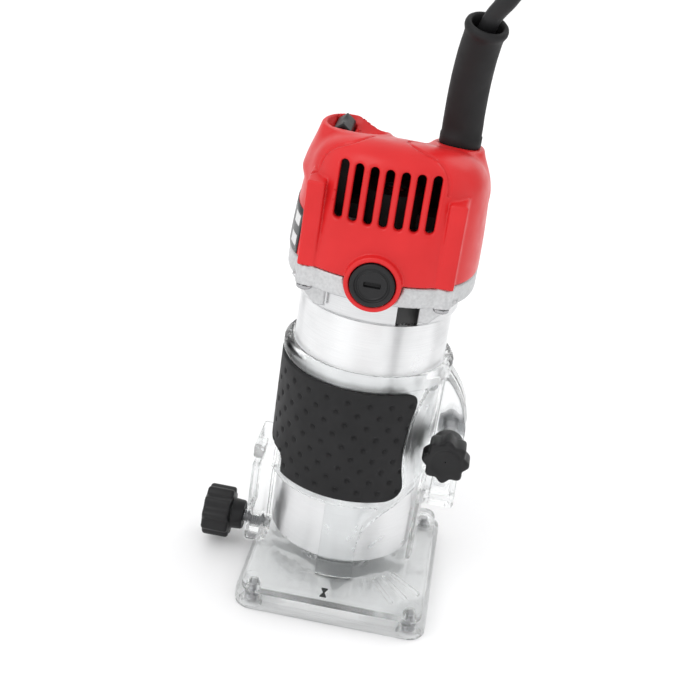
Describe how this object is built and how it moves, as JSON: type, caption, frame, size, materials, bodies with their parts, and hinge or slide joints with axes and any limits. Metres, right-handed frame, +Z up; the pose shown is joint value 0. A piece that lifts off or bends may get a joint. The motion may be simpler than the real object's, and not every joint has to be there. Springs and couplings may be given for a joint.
{
  "type": "trim router",
  "caption": "Corded woodworking trim router: motor barrel with moulded head, clamped in a clear plunge shoe with a guide lock, collet and free cord.",
  "frame": {"origin": "centre of the bounding box's bottom face, on the sole, without the free cord", "axes": "+Z up along the spindle, -Y towards the vents and windows of the front, +X towards the clamp, -X out of the guide face"},
  "size_m": [0.1143, 0.3071, 0.2995],
  "materials": {
    "clear_plastic": "clear moulded polycarbonate, polished",
    "soft_grip": "matt black",
    "black_plastic": "fine texture, satin",
    "red_plastic": "moulded, semi-gloss",
    "inner_plastic": "moulded",
    "housing_alloy": "machined barrel, as-cast flange",
    "bright_steel": "turned and plated",
    "dark_steel": "blackened",
    "copper_wire": "enamelled copper",
    "brass_fitting": "plain",
    "carbon_block": "pressed graphite"
  },
  "bodies": {
    "base": {"base_shoe": "clear_plastic", "sole_plate": "clear_plastic", "sole_screw_1": "bright_steel", "sole_screw_2": "bright_steel", "sole_screw_3": "bright_steel", "sole_screw_4": "bright_steel", "front_grip": "soft_grip", "rear_grip": "soft_grip", "centre_mark": "black_plastic", "clamp_nut": "bright_steel", "cord_hank": "soft_grip", "cord_tail": "soft_grip", "cord_tie": "black_plastic", "plug_body": "black_plastic", "plug_pin_1": "bright_steel", "plug_pin_2": "bright_steel"},
    "motor": {"motor_housing": "housing_alloy", "head_cover": "red_plastic", "head_screw_1": "bright_steel", "head_screw_2": "bright_steel", "head_screw_3": "bright_steel", "head_screw_4": "bright_steel", "front_brush_holder": "brass_fitting", "rear_brush_holder": "brass_fitting", "front_carbon_brush": "carbon_block", "rear_carbon_brush": "carbon_block", "front_brush_spring": "bright_steel", "rear_brush_spring": "bright_steel", "switch_body": "inner_plastic", "stator_core": "dark_steel", "field_coil_lower": "copper_wire", "field_coil_upper": "copper_wire", "lower_bearing": "bright_steel", "bearing_retainer": "dark_steel", "air_baffle": "inner_plastic", "upper_bearing": "bright_steel", "bearing_bridge": "inner_plastic", "rating_label": "black_plastic", "cord_boot": "soft_grip", "cord_lead": "soft_grip"},
    "spindle": {"spindle_shaft": "bright_steel", "collet": "bright_steel", "cooling_fan": "inner_plastic", "armature_core": "dark_steel", "winding_lower": "copper_wire", "winding_upper": "copper_wire", "commutator": "copper_wire"},
    "nut": {"collet_nut": "dark_steel"},
    "clamp": {"clamp_knob": "black_plastic", "clamp_screw": "bright_steel"},
    "guide_lock": {"guide_knob": "black_plastic", "guide_screw": "bright_steel"},
    "front_cap": {"front_brush_cap": "black_plastic"},
    "rear_cap": {"rear_brush_cap": "black_plastic"},
    "switch_rocker": {"rocker": "black_plastic"}
  },
  "joints": [
    {"name": "height_slide", "type": "slide", "parent": "base", "child": "motor", "axis": [0, 0, 1], "range_m": [-0.006, 0.03]},
    {"name": "spindle_spin", "type": "hinge", "parent": "motor", "child": "spindle", "pos_m": [0.00605, 0.00272, 0.06], "axis": [0, 0, 1], "continuous": true},
    {"name": "collet_nut_turn", "type": "hinge", "parent": "spindle", "child": "nut", "pos_m": [0.00605, 0.00272, 0.007], "axis": [0, 0, 1], "continuous": true},
    {"name": "clamp_knob_turn", "type": "hinge", "parent": "base", "child": "clamp", "pos_m": [0.04705, 0.00272, 0.0752], "axis": [0, 1, 0], "continuous": true},
    {"name": "guide_knob_turn", "type": "hinge", "parent": "base", "child": "guide_lock", "pos_m": [-0.04195, -0.00128, 0.015], "axis": [1, 0, 0], "continuous": true},
    {"name": "front_cap_turn", "type": "hinge", "parent": "motor", "child": "front_cap", "pos_m": [0.00605, -0.04028, 0.1563], "axis": [0, 1, 0], "continuous": true},
    {"name": "rear_cap_turn", "type": "hinge", "parent": "motor", "child": "rear_cap", "pos_m": [0.00605, 0.04572, 0.1563], "axis": [0, 1, 0], "continuous": true},
    {"name": "rocker_tilt", "type": "hinge", "parent": "motor", "child": "switch_rocker", "pos_m": [-0.01655, -0.00228, 0.2015], "axis": [1, 0, 0], "range_deg": [-10, 0]}
  ]
}
